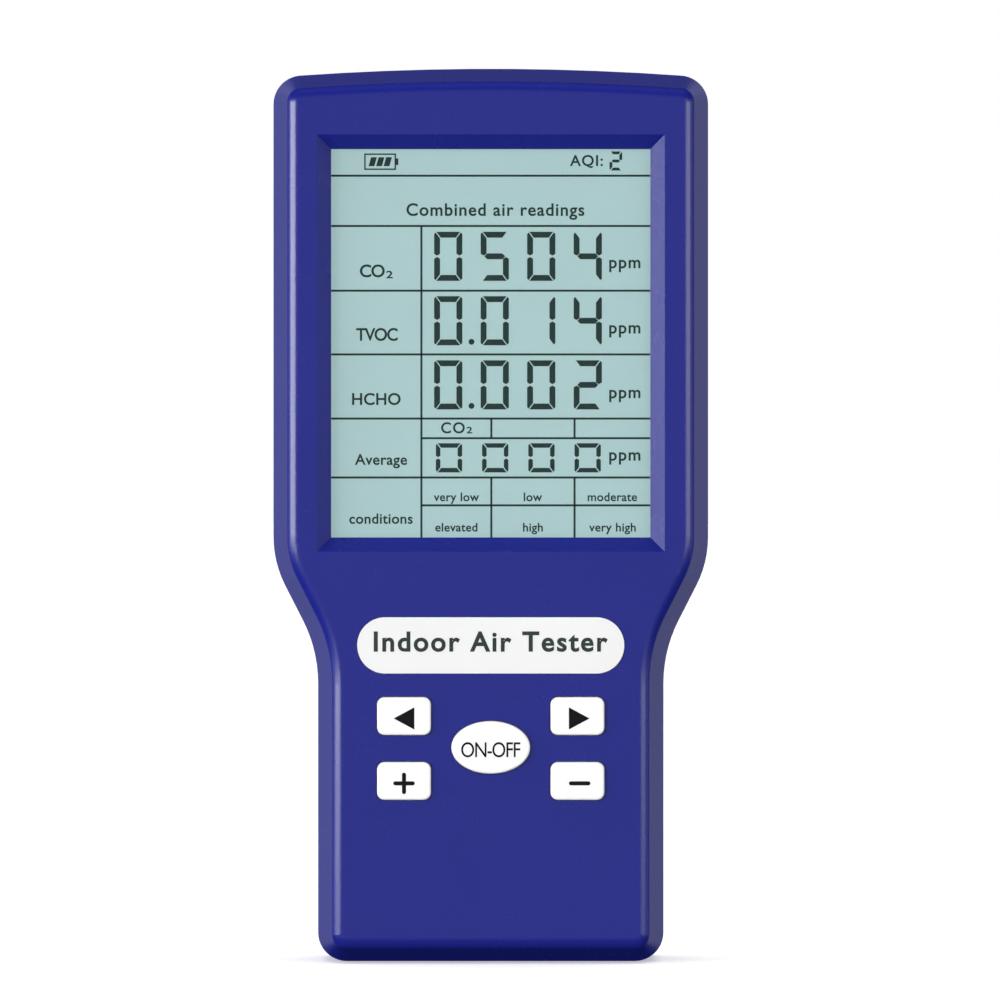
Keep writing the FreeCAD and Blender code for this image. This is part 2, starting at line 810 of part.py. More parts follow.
def make_kickstand():
    body = new_body("kickstand")
    leg = front_sketch(body, "leg", "stand_face - stand_thick", level="(stand_tip + pivot_level) / 2")
    draw_rectangle(leg, "stand_width", "pivot_level - stand_tip", "barrel_radius")
    pad(body, leg, "stand_thick", reverse=True)
    barrel = new_sketch(body, "barrel", "YZ_Plane", "pivot_depth", "pivot_level")
    pad(body, draw_circle(barrel, "barrel_radius"), "stand_width", middle=True)
    heel_middle = "pivot_level + (heel_length - barrel_radius) / 2"
    heel = front_sketch(body, "heel", "stand_face - heel_thick", level=heel_middle)
    pad(body, draw_box(heel, "stand_width", "heel_length + barrel_radius"), "heel_thick", reverse=True)
    panel = front_sketch(body, "leg_panel", "stand_face", level="(stand_tip + pivot_level) / 2")
    size = ("stand_width - 2 * panel_side", "pivot_level - stand_tip - 2 * panel_end")
    draw_rectangle(panel, *size, "panel_corner")
    pocket(body, panel, "panel_sunk", reverse=True)
    stubs = new_sketch(body, "stubs", "YZ_Plane", "pivot_depth", "pivot_level")
    pad(body, draw_circle(stubs, "stub_radius"), "stand_width + 2 * stub_length", middle=True)


# ---------------------------------------------------------------- keys and switches


def make_key(name):
    across, level = KEYS[name]
    body = new_body(f"{name}_key")
    flange_front = f"{INNER_FRONT} + flange_gap"
    cap = draw_key_shape(front_sketch(body, name + "_cap", flange_front, across, level), name, "0")
    pad(body, cap, f"{flange_front} - front_face + key_proud")
    fillet(body, edges_where(body.Shape, flat_at("front_face - key_proud")), "key_edge")
    flange = front_sketch(body, name + "_flange", flange_front, across, level)
    pad(body, draw_key_shape(flange, name, "flange_rim"), "flange_thick", reverse=True)
    post_start = f"{flange_front} + flange_thick"
    post = draw_circle(front_sketch(body, name + "_post", post_start, across, level), "post_radius")
    pad(body, post, f"{PLUNGER_FRONT} - post_gap - ({post_start})", reverse=True)


PLUNGER_FRONT = "board_front - switch_depth - switch_cover - plunger_proud"


def make_switch(name):
    """A push switch under one key: a moulded body, a metal cover and a plunger."""
    across, level = KEYS[name]
    front = "board_front - switch_depth"
    bore = "plunger_radius + plunger_gap"
    side = "switch_side"
    case = block(name + "_switch_case", across, front, level, side, "switch_depth", side)
    depth = "plunger_sunk + key_travel + plunger_gap"
    hole = disc(name + "_switch_bore", across, front, level, bore, depth)
    keep(f"{name}_switch_body", cut(name + "_switch_body", case, hole))
    plate = block(name + "_plate", across, f"{front} - switch_cover", level, side, "switch_cover", side)
    hole = disc(name + "_plate_hole", across, f"{front} - switch_cover", level, bore, "switch_cover")
    keep(f"{name}_switch_cover", cut(name + "_switch_cover", plate, hole))
    length = "plunger_proud + switch_cover + plunger_sunk"
    plunger = disc(name + "_switch_plunger", across, PLUNGER_FRONT, level, "plunger_radius", length)
    keep(f"{name}_switch_plunger", plunger)


def make_flat(label, front, level, width, height, corner, thick):
    """A plate with rounded corners that starts at a depth and goes towards the back."""
    body = new_body(label)
    sketch = front_sketch(body, label + "_shape", front, level=level)
    draw_rectangle(sketch, width, height, corner)
    pad(body, sketch, thick, reverse=True)
    return body


# ---------------------------------------------------------------- display


REAR_GLASS_FRONT = "glass_front + glass_thick"
REFLECTOR_FRONT = "glass_front + 2 * glass_thick"
GUIDE_FRONT = f"{REFLECTOR_FRONT} + reflector_thick"


def make_display():
    front = INNER_FRONT
    size = ("window_width", "window_height", "window_corner")
    make_flat("display_window", front, "view_level", *size, "window_thick")
    film = "glass_front - film_thick"
    films = ("film_width", "film_thick", "film_height")
    keep("lcd_polariser", block("lcd_polariser", "0", film, "rear_glass_level", *films))
    glass = ("glass_width", "glass_thick", "glass_height")
    keep("lcd_front_glass", block("lcd_front_glass", "0", "glass_front", "glass_level", *glass))
    rear = ("glass_width", "glass_thick", "rear_glass_height")
    keep("lcd_rear_glass", block("lcd_rear_glass", "0", REAR_GLASS_FRONT, "rear_glass_level", *rear))
    sheet = ("film_width", "reflector_thick", "film_height")
    keep("lcd_reflector", block("lcd_reflector", "0", REFLECTOR_FRONT, "rear_glass_level", *sheet))
    guide = ("guide_width", "guide_thick", "rear_glass_height")
    keep("backlight_guide", block("backlight_guide", "guide_offset", GUIDE_FRONT, "rear_glass_level", *guide))
    strip = ("led_strip_width", "guide_thick", "led_strip_height")
    lamps = block("backlight_led_strip", "led_strip_offset", GUIDE_FRONT, "rear_glass_level", *strip)
    keep("backlight_led_strip", lamps)
    depth = f"board_front - ({REAR_GLASS_FRONT})"
    contact = ("contact_width", depth, "contact_height")
    keep("lcd_contact_strip", block("lcd_contact_strip", "0", REAR_GLASS_FRONT, "contact_level", *contact))
    make_lcd_holder()


def make_lcd_holder():
    inner = ("glass_width + 2 * holder_gap", "glass_height + 2 * holder_gap")
    outer = [f"{size} + 2 * holder_rim" for size in inner]
    depth = "board_front - holder_front"
    frame = block("holder_block", "0", "holder_front", "glass_level", outer[0], depth, outer[1])
    floor = "holder_floor - holder_front"
    space = block("holder_space", "0", "holder_front", "glass_level", inner[0], floor, inner[1])
    opening = ("holder_window_width", depth, "holder_window_height")
    window = block("holder_window", "0", "holder_front", "rear_glass_level", *opening)
    slot_size = ("contact_width + 2 * holder_gap", depth, "contact_height + 2 * holder_gap")
    slot = block("contact_slot", "0", "holder_front", "contact_level", *slot_size)
    keep("lcd_holder", cut("lcd_holder", frame, fuse("holder_hollow", space, window, slot)))


# ---------------------------------------------------------------- board and what it carries


BOARD_BACK = "board_front + board_thick"


def make_board():
    body = new_body("main_board")
    outline = draw_outline(front_sketch(body, "board_outline", "board_front"), "board_inset")
    pad(body, outline, "board_thick", reverse=True)
    high_end = ("board_end_high", "board_top", "case_height")
    low_end = ("board_end_low", "0", "board_low")
    for name, low, high in (high_end, low_end):
        end = front_sketch(body, name, "board_front", level=f"({low} + {high}) / 2")
        pocket(body, draw_box(end, "head_width", f"{high} - {low}"), "board_thick")
    holes = circles(body, "board_holes", "board_front", "board_screw_hole", BOARD_BOSSES)
    pocket(body, holes, "board_thick")


def make_screw(name, spot, seat, shank, head):
    """A cross-recess screw with its head behind the seat and its shank towards the front."""
    across, level = spot
    radius, length = shank
    head_radius, head_thick = head
    shaft = disc(name + "_shank", across, f"{seat} - {length}", level, radius, length)
    cap = disc(name + "_head", across, seat, level, head_radius, head_thick)
    depth = f"{seat} + {head_thick} / 2"
    long, short = f"{head_radius} * cross_length", f"{head_radius} * cross_width"
    bars = [
        block(f"{name}_bar{step}", across, depth, level, wide, head_thick, high)
        for step, (wide, high) in enumerate(((long, short), (short, long)))
    ]
    return cut(name, fuse(name + "_blank", shaft, cap), fuse(name + "_cross", *bars))


def make_screws():
    shank, head = ("screw_radius", "screw_length"), ("screw_head", "screw_head_thick")
    large = [
        make_screw(f"case_screw_{n}", spot, "screw_seat", shank, head)
        for n, spot in enumerate(CASE_BOSSES)
    ]
    keep("case_screws", group("case_screws", *large))
    shank = ("small_screw_radius", "small_screw_length")
    head = ("small_screw_head", "small_screw_head_thick")
    seat = f"({BOARD_BACK})"
    small = [
        make_screw(f"board_screw_{n}", spot, seat, shank, head)
        for n, spot in enumerate(BOARD_BOSSES)
    ]
    keep("board_screws", group("board_screws", *small))


# Square-cornered parts: place across, level, width, thickness and height.
CHIPS = {
    "controller_chip": ("8", "92", "10", "1.4", "10"),
    "display_driver_chip": ("-6", "105", "9", "1.4", "9"),
    "charger_chip": ("12", "30", "4", "0.9", "4"),
    "crystal": ("18", "92", "3.2", "0.8", "5"),
    "power_inductor": ("12", "38", "5", "3", "5"),
    "battery_header": ("plug_column", "plug_level", "header_width", "header_thick", "header_height"),
}
# Rows of small parts: count, first place across, level, width, thickness and height.
CHIP_ROWS = {
    "chip_capacitors": (6, "6", "83", "1.3", "0.9", "2"),
    "chip_resistors": (8, "-17", "91", "1.6", "0.5", "0.8"),
}


def make_chips():
    """What sits on the back of the board, and the plug in the battery header."""
    for label, (across, level, *size) in CHIPS.items():
        keep(label, block(label, across, BOARD_BACK, level, *size))
    for label, (count, start, level, *size) in CHIP_ROWS.items():
        row = [
            block(f"{label}_{step}", f"{start} + row_pitch * {step}", BOARD_BACK, level, *size)
            for step in range(count)
        ]
        keep(label, group(label, *row))
    size = ("plug_width", "plug_thick", "plug_height")
    plug = block("battery_plug", "plug_column", f"{BOARD_BACK} + header_thick", "plug_level", *size)
    keep("battery_plug", plug)


def make_sounder():
    base = ("sounder_column", BOARD_BACK, "sounder_level")
    case = disc("sounder_case", *base, "sounder_radius", "sounder_depth")
    mouth = f"{BOARD_BACK} + sounder_depth - mouth_depth"
    spot = ("sounder_column", mouth, "sounder_level")
    hole = disc("sounder_mouth", *spot, "mouth_radius", "mouth_depth")
    keep("buzzer", cut("buzzer", case, hole))


def make_socket():
    """The charging socket: a folded metal shell with a contact tongue inside."""
    body = new_body("usb_socket_shell")
    middle = f"{BOARD_BACK} + socket_height / 2"
    outer = new_sketch(body, "socket_outer", "YZ_Plane", middle, "socket_level", "socket_end")
    draw_rectangle(outer, "socket_height", "socket_width", "socket_corner")
    pad(body, outer, "socket_length", reverse=True)
    inner = new_sketch(body, "socket_inner", "YZ_Plane", middle, "socket_level", "socket_end")
    size = ("socket_height - 2 * socket_wall", "socket_width - 2 * socket_wall")
    draw_rectangle(inner, *size, "socket_corner - socket_wall")
    pocket(body, inner, "socket_length - socket_wall")
    length = "socket_length - socket_wall - tongue_inset"
    spot = (f"socket_end - tongue_inset - ({length}) / 2", f"{middle} - tongue_thick / 2", "socket_level")
    tongue = block("usb_socket_tongue", *spot, length, "tongue_thick", "tongue_width")
    keep("usb_socket_tongue", tongue)


# ---------------------------------------------------------------- battery


CELL_FRONT = "recess_floor - bump_wall - tape_thick - cell_thick"
LEAD_END = f"{BOARD_BACK} + header_thick + plug_thick"


def make_battery():
    size = ("cell_width", "cell_height", "cell_corner")
    cell = make_flat("battery_cell", CELL_FRONT, "cell_level", *size, "cell_thick")
    fillet(cell, edges_where(cell.Shape, flat_at(CELL_FRONT)), "cell_edge")
    tape = ("cell_width - 2 * tape_side", "tape_thick", "cell_height - 2 * tape_end")
    front = f"{CELL_FRONT} + cell_thick"
    keep("battery_tape", block("battery_tape", "0", front, "cell_level", *tape))
    body = new_body("battery_leads")
    body.AllowCompound = True
    for name, side in (("red", "-"), ("black", "+")):
        add_lead(body, name, f"plug_column {side} lead_pitch / 2")


def add_lead(body, name, across):
    """One battery lead: up from the cell, round a bend and into the plug."""
    start = "cell_level + cell_height / 2"
    path = new_sketch(body, name + "_path", "YZ_Plane", away=across)
    depth, level, bend = number("lead_depth"), number("plug_level"), number("lead_bend")
    low, end = number(start), number(LEAD_END)
    centre = (depth - bend, level - bend)
    corner = (depth, level - bend)
    lines = [
        segment((depth, low), corner),
        arc_about(centre, corner, (depth - bend, level)),
        segment((depth - bend, level), (end, level)),
    ]
    path.addGeometry(lines, False)
    for step in (0, 1):
        path.addConstraint(Sketcher.Constraint("Tangent", step, 2, step + 1, 1))
    path.addConstraint(Sketcher.Constraint("Vertical", 0))
    path.addConstraint(Sketcher.Constraint("Horizontal", 2))
    dimension(path, "bend", "lead_bend", "Radius", 1)
    dimension(path, "depth", "lead_depth", "DistanceX", -1, 1, 0, 1)
    dimension(path, "start", start, "DistanceY", -1, 1, 0, 1)
    dimension(path, "end", LEAD_END, "DistanceX", -1, 1, 2, 2)
    dimension(path, "level", "plug_level", "DistanceY", -1, 1, 2, 2)
    profile = new_sketch(body, name + "_profile", "XY_Plane", across, "lead_depth", start)
    draw_circle(profile, "lead_radius")
    before = volume(body)
    pipe = body.newObject("PartDesign::AdditivePipe", name + "_lead")
    pipe.Profile = profile
    pipe.Spine = (path, ["Edge1", "Edge2", "Edge3"])
    check_change(body, before, True)


# ---------------------------------------------------------------- sensors


def make_sensors():
    gas_front = f"{BOARD_BACK} + stand_off"
    gas = ("gas_width", "gas_thick", "gas_height")
    keep("co2_sensor_housing", block("co2_sensor_housing", "gas_column", gas_front, "gas_level", *gas))
    back = f"{gas_front} + gas_thick"
    sheet = ("gas_level", "membrane_radius", "membrane_thick")
    membranes = [
        disc(f"membrane_{side}", f"gas_column {sign} membrane_offset", back, *sheet)
        for side, sign in (("left", "-"), ("right", "+"))
    ]
    keep("co2_sensor_membranes", group("co2_sensor_membranes", *membranes))
    cell = ("cell_column", gas_front, "cell_centre", "cell_radius", "cell_depth")
    keep("hcho_sensor_cell", disc("hcho_sensor_cell", *cell))
    cover = ("cell_column", f"{gas_front} + cell_depth", "cell_centre", "filter_radius", "membrane_thick")
    keep("hcho_sensor_filter", disc("hcho_sensor_filter", *cover))
    base = ("can_column", BOARD_BACK, "can_centre", "can_flange", "can_flange_thick")
    keep("tvoc_sensor_base", disc("tvoc_sensor_base", *base))
    cap = ("can_column", f"{BOARD_BACK} + can_flange_thick", "can_centre", "can_radius", "can_depth")
    keep("tvoc_sensor_cap", disc("tvoc_sensor_cap", *cap))
    gas_pins = pin_row("gas", 5, "gas_level + gas_height / 2 - gas_pin_inset")
    cell_pins = pin_row("cell", 3, "cell_centre - cell_pin_drop")
    keep("sensor_pins", group("sensor_pins", *gas_pins, *cell_pins))


def pin_row(sensor, count, level):
    """Pins that hold a sensor off the board, in a row about the middle of the sensor."""
    pins = []
    for step in range(count):
        across = f"{sensor}_column + {sensor}_pin_pitch * ({step} - {count - 1} / 2)"
        size = (f"{sensor}_pin_radius", "stand_off")
        pins.append(disc(f"{sensor}_pin_{step}", across, BOARD_BACK, level, *size))
    return pins


def make_screen():
    level = "vent_low_level + vent_pitch * (vent_rows - 1) / 2"
    size = ("screen_width", "screen_thick", "screen_height")
    keep("vent_screen", block("vent_screen", "0", "back_face - wall - screen_thick", level, *size))


# ---------------------------------------------------------------- output


def check_and_write():
    DOC.recompute()
    for item in DOC.Objects:
        if "Invalid" in item.State or "Error" in item.State:
            raise RuntimeError(f"{item.Label}: {item.State}")
    os.makedirs("parts", exist_ok=True)
    for label, item in SUB_PARTS.items():
        if item.Shape.isNull() or not item.Shape.isValid() or not item.Shape.Solids:
            raise RuntimeError(f"{label} has no sound shape")
        item.Shape.exportStep(f"parts/{label}.step")


def main():
    fill_sheet()
    make_front_shell()
    make_rear_shell()
    make_kickstand()
    for name in KEYS:
        make_key(name)
        make_switch(name)
    badge = ("badge_width", "badge_height", "badge_corner")
    make_flat("title_badge", "front_face - badge_proud", "badge_level", *badge, "badge_proud + badge_sunk")
    make_display()
    make_board()
    make_screws()
    make_chips()
    make_sounder()
    make_socket()
    make_battery()
    make_sensors()
    make_screen()
    check_and_write()


main()
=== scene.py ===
"""Looks of the handheld air quality monitor: its materials, display, legends, light and camera."""
import json
import math

import bmesh
import bpy
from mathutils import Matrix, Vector


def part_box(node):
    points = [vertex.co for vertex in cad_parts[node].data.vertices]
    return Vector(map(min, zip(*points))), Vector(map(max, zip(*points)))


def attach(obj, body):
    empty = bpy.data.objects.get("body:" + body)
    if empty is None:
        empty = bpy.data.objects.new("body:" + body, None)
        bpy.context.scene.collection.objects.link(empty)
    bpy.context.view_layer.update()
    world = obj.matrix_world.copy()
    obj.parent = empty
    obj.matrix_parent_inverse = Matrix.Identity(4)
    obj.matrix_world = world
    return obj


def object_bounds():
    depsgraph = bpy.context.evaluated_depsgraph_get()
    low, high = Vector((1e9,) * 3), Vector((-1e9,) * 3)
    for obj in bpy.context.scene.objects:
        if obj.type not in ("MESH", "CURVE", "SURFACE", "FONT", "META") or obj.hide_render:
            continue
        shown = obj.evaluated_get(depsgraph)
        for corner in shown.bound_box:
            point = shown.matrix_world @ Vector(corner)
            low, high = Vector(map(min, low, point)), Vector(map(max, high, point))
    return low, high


MM = 0.001

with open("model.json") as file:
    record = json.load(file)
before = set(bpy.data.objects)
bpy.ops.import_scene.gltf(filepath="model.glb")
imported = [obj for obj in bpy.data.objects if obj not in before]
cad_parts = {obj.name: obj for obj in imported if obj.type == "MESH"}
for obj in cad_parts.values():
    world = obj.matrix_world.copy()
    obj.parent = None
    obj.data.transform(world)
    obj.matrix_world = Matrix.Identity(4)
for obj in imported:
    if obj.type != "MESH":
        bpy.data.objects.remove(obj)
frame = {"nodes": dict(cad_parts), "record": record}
CAD_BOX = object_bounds()


def add_object(name, data):
    """A new object in the scene, at the origin."""
    thing = bpy.data.objects.new(name, data)
    bpy.context.scene.collection.objects.link(thing)
    return thing


# ---------------------------------------------------------------- materials


def shader_of(material):
    return material.node_tree.nodes["Principled BSDF"]


def new_material(name, colour, roughness, **values):
    """A material whose even values sit on its shader's own sockets."""
    material = bpy.data.materials.new(name)
    material.use_nodes = True
    shader = shader_of(material)
    shader.inputs["Base Color"].default_value = (*colour, 1)
    shader.inputs["Roughness"].default_value = roughness
    for key, value in values.items():
        shader.inputs[key.replace("_", " ")].default_value = value
    return material


def add_node(material, kind, **sockets):
    """A node with values on the named sockets, an underscore standing for each space."""
    node = material.node_tree.nodes.new(kind)
    for key, value in sockets.items():
        node.inputs[key.replace("_", " ")].default_value = value
    return node


def join(material, source, target):
    material.node_tree.links.new(source, target)


def place_in_frame(material, stretch=(1, 1, 1)):
    """The surface point in the shared frame, stretched along the axes."""
    coordinates = add_node(material, "ShaderNodeTexCoord")
    mapping = add_node(material, "ShaderNodeMapping", Scale=stretch)
    join(material, coordinates.outputs["Object"], mapping.inputs["Vector"])
    return mapping.outputs["Vector"]


def noise(material, size, detail=2.0, stretch=(1, 1, 1)):
    """Noise with grains of about the given size, in metres."""
    node = add_node(material, "ShaderNodeTexNoise", Scale=1 / size, Detail=detail)
    join(material, place_in_frame(material, stretch), node.inputs["Vector"])
    return node.outputs["Fac"]


def vary_colour(material, source, first, second, start=0.3, end=0.7):
    """Mottles the base colour between two colours."""
    ramp = add_node(material, "ShaderNodeValToRGB")
    for element, place, colour in zip(ramp.color_ramp.elements, (start, end), (first, second)):
        element.position = place
        element.color = (*colour, 1)
    join(material, source, ramp.inputs["Fac"])
    join(material, ramp.outputs["Color"], shader_of(material).inputs["Base Color"])


def vary_roughness(material, source, low, high):
    """Lets the roughness drift between two values as a noise goes from 0.2 to 0.8."""
    limits = {"From_Min": 0.2, "From_Max": 0.8, "To_Min": low, "To_Max": high}
    node = add_node(material, "ShaderNodeMapRange", **limits)
    join(material, source, node.inputs["Value"])
    join(material, node.outputs["Result"], shader_of(material).inputs["Roughness"])


def add_bump(material, source, height, below=None):
    """Raises the surface by up to the given height, in metres, on top of an earlier bump."""
    node = add_node(material, "ShaderNodeBump", Strength=1.0, Distance=height)
    join(material, source, node.inputs["Height"])
    if below:
        join(material, below, node.inputs["Normal"])
    join(material, node.outputs["Normal"], shader_of(material).inputs["Normal"])
    return node.outputs["Normal"]


def tinted(colour, factor):
    """A lighter or darker colour, kept at 1 or below."""
    return tuple(min(1, part * factor) for part in colour)


WAVE_SIZE = 18 * MM
WAVE_HEIGHT = 0.004 * MM
DRIFT_SIZE = 7 * MM
DRIFT = 0.01


def moulded_plastic(name, colour, roughness, grain=0.35 * MM, depth=0.006 * MM, **values):
    """Moulded plastic: fine spark-eroded grain, a slow waviness, and roughness that drifts."""
    material = new_material(name, colour, roughness, **values)
    slow = noise(material, WAVE_SIZE, 1)
    vary_colour(material, slow, tinted(colour, 0.97), tinted(colour, 1.03), 0.15, 0.85)
    drift = noise(material, DRIFT_SIZE, 2)
    vary_roughness(material, drift, roughness - DRIFT, roughness + DRIFT)
    wave = add_bump(material, slow, WAVE_HEIGHT)
    add_bump(material, noise(material, grain, 2), depth, wave)
    return material


STAIN_SIZE = 2 * MM
BRUSH_SIZE = 0.12 * MM


def metal(name, colour, roughness, stretch=(1, 1, 1)):
    """Metal with a fine grain, brushed along an axis where it is stretched, and faint stains."""
    material = new_material(name, colour, roughness, Metallic=1.0)
    stains = noise(material, STAIN_SIZE, 4)
    vary_colour(material, stains, tinted(colour, 0.86), tinted(colour, 1.06))
    brushing = noise(material, BRUSH_SIZE, 2, stretch)
    vary_roughness(material, brushing, roughness - 0.06, roughness + 0.12)
    add_bump(material, brushing, 0.002 * MM)
    return material


WAVE_PERIOD = 0.314  # of a wave texture whose scale is 1


def woven(name, colour, thread):
    """Woven cloth: two crossing sets of threads, with painted shade between them and painted
    highlights on their crowns.
    """
    material = new_material(name, colour, 0.8)
    heights = []
    for axis in ("X", "Z"):
        wave = add_node(material, "ShaderNodeTexWave", Scale=WAVE_PERIOD / thread, Distortion=0.4)
        wave.bands_direction = axis
        join(material, place_in_frame(material), wave.inputs["Vector"])
        heights.append(wave.outputs["Fac"])
    crossing = add_node(material, "ShaderNodeMath")
    crossing.operation = "MAXIMUM"
    for step, height in enumerate(heights):
        join(material, height, crossing.inputs[step])
    weave = crossing.outputs["Value"]
    # Darker where the threads dip and lighter on their crowns: painted shade between the threads
    # and a painted highlight on top.
    vary_colour(material, weave, tinted(colour, 0.45), tinted(colour, 1.25), 0.2, 0.9)
    add_bump(material, weave, 0.06 * MM)
    return material


def blue_case():
    blue = (0.0075, 0.0125, 0.205)
    return moulded_plastic("case_blue", blue, 0.27, Specular_IOR_Level=0.5)


def white_keys():
    white = (0.86, 0.86, 0.86)
    return moulded_plastic("key_white", white, 0.42, grain=0.2 * MM, depth=0.004 * MM)


def white_badge():
    white = (0.78, 0.785, 0.78)
    return moulded_plastic("badge_white", white, 0.25, grain=0.5 * MM, depth=0.002 * MM)


def window_clear():
    """Clear acrylic, nearly all see-through, with faint wiping marks in its gloss."""
    material = new_material("window_clear", (0.02, 0.03, 0.03), 0.06, Alpha=0.1, IOR=1.49)
    vary_roughness(material, noise(material, 3 * MM, 4, (1, 1, 5)), 0.04, 0.1)
    return material


def display_film_painted_glow():
    """The display's pale grey-green ground, which glows: painted light that gives most of its
    brightness and evens out the shade that the bezel casts over it.
    """
    pale = (0.17, 0.25, 0.25)
    # Painted light: the display glows in its own pale colour, so it looks evenly lit with no shade
    # from the bezel.
    glow = (0.41, 0.6, 0.605, 1)
    light = {"Emission_Color": glow, "Emission_Strength": 0.78}
    material = new_material("display_film_painted_glow", pale, 0.5, **light)
    vary_colour(material, noise(material, 9 * MM, 2), pale, tinted(pale, 1.04), 0.42, 0.58)
    vary_roughness(material, noise(material, 1 * MM, 3), 0.45, 0.55)
    add_bump(material, noise(material, 0.1 * MM, 1), 0.002 * MM)
    return material


def ink(name, colour):
    """Printed or driven marks: dense, slightly uneven ink."""
    material = new_material(name, colour, 0.55, Specular_IOR_Level=0.1)
    vary_colour(material, noise(material, 0.3 * MM, 3), tinted(colour, 0.85), tinted(colour, 1.2))
    vary_roughness(material, noise(material, 0.2 * MM, 2), 0.5, 0.65)
    add_bump(material, noise(material, 0.08 * MM, 2), 0.001 * MM)
    return material


def clear_glass(name, colour, alpha):
    """Polished glass or acrylic inside the case, with a faint unevenness in its gloss."""
    material = new_material(name, colour, 0.08, Alpha=alpha, IOR=1.5)
    vary_roughness(material, noise(material, 4 * MM, 3), 0.05, 0.12)
    return material


def circuit_board():
    """Green solder mask with copper tracks showing through as faint ridges."""
    green = (0.008, 0.075, 0.025)
    material = new_material("board_green", green, 0.35)
    size = 9 * MM
    tracks = add_node(material, "ShaderNodeTexBrick", Scale=1 / size, Mortar_Size=0.03)
    for key, factor in (("Color1", 1), ("Color2", 1.15), ("Mortar", 2.2)):
        tracks.inputs[key].default_value = (*tinted(green, factor), 1)
    join(material, place_in_frame(material), tracks.inputs["Vector"])
    join(material, tracks.outputs["Color"], shader_of(material).inputs["Base Color"])
    vary_roughness(material, noise(material, 2 * MM, 3), 0.28, 0.42)
    add_bump(material, tracks.outputs["Fac"], 0.03 * MM)
    return material


def foil_cell():
    """The battery's crinkled foil pouch, whose creases take the place of the metal's grain."""
    material = metal("cell_silver", (0.62, 0.63, 0.65), 0.32)
    add_bump(material, noise(material, 2.5 * MM, 4), 0.08 * MM)
    return material


MATERIALS = {
    "case_blue": blue_case(),
    "window_clear": window_clear(),
    "white_plate": white_badge(),
    "key_white": white_keys(),
    "switch_black": moulded_plastic("switch_black", (0.012, 0.012, 0.013), 0.5),
    "steel_bright": metal("steel_bright", (0.6, 0.6, 0.62), 0.3),
    "plunger_brown": moulded_plastic("plunger_brown", (0.2, 0.1, 0.04), 0.45),
    "holder_white": moulded_plastic("holder_white", (0.72, 0.72, 0.7), 0.5),
    "polariser": display_film_painted_glow(),
    "lcd_glass": clear_glass("lcd_glass", (0.7, 0.85, 0.8), 0.3),
    "reflector_film": moulded_plastic("reflector_film", (0.7, 0.75, 0.72), 0.3, depth=0.001 * MM),
    "guide_clear": clear_glass("guide_clear", (0.9, 0.95, 0.92), 0.4),
    "led_white": moulded_plastic("led_white", (0.75, 0.72, 0.5), 0.4),
    "contact_rubber": moulded_plastic("contact_rubber", (0.35, 0.1, 0.12), 0.7),
    "board_green": circuit_board(),
    "chip_black": moulded_plastic("chip_black", (0.012, 0.012, 0.012), 0.55, depth=0.01 * MM),
    "capacitor_tan": moulded_plastic("capacitor_tan", (0.3, 0.2, 0.11), 0.4),
    "resistor_black": moulded_plastic("resistor_black", (0.02, 0.02, 0.025), 0.4),
    "screw_steel": metal("screw_steel", (0.5, 0.5, 0.52), 0.34),
    "cell_silver": foil_cell(),
    "foam_black": moulded_plastic("foam_black", (0.02, 0.02, 0.02), 0.9, depth=0.05 * MM),
    "lead_red": moulded_plastic("lead_red", (0.42, 0.015, 0.015), 0.5),
    "connector_cream": moulded_plastic("connector_cream", (0.75, 0.68, 0.5), 0.45),
    "sensor_gold": metal("sensor_gold", (0.85, 0.62, 0.27), 0.3, (1, 1, 6)),
    "membrane_white": woven("membrane_white", (0.75, 0.75, 0.73), 0.25 * MM),
    "sensor_white": moulded_plastic("sensor_white", (0.75, 0.75, 0.72), 0.45),
    "pin_gold": metal("pin_gold", (0.85, 0.65, 0.3), 0.25),
    "screen_cloth": woven("screen_cloth", (0.03, 0.03, 0.032), 0.5 * MM),
    "display_ink": ink("display_ink", (0.02, 0.045, 0.04)),
    "legend_ink": ink("legend_ink", (0.006, 0.006, 0.007)),
    "badge_ink": ink("badge_ink", (0.03, 0.042, 0.04)),
}


def dress_frame():
    """Gives every CAD node the material of its slot."""
    for part in frame["record"]["subparts"]:
        data = frame["nodes"][part["node"]].data
        data.materials.clear()
        data.materials.append(MATERIALS[part["material_slot"]])


# ---------------------------------------------------------------- thin marks


INK_THICK = 0.03 * MM


def finish_piece(build, name, body, slot):
    """Turns a bmesh into a piece that rides on a body and wears its slot's material."""
    bmesh.ops.recalc_face_normals(build, faces=build.faces)
    mesh = bpy.data.meshes.new(name)
    build.to_mesh(mesh)
    build.free()
    mesh.materials.clear()
    mesh.materials.append(MATERIALS[slot])
    piece = add_object(name, mesh)
    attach(piece, body)


def plates(name, outlines, back, body, slot):
    """Flat closed plates seen from the front: outlines of (across, level) points, in metres."""
    build = bmesh.new()
    for outline in outlines:
        rings = [
            [build.verts.new((across, depth, level)) for across, level in outline]
            for depth in (back, back - INK_THICK)
        ]
        build.faces.new(rings[0])
        build.faces.new(rings[1][::-1])
        for step in range(len(outline)):
            following = (step + 1) % len(outline)
            side = (rings[0][step], rings[1][step], rings[1][following], rings[0][following])
            build.faces.new(side)
    finish_piece(build, name, body, slot)


def slanted_box(left, bottom, width, height, lean=0.0):
    """A rectangle's outline, its top moved across by the lean."""
    right, top = left + width, bottom + height
    return [(left, bottom), (right, bottom), (right + lean, top), (left + lean, top)]


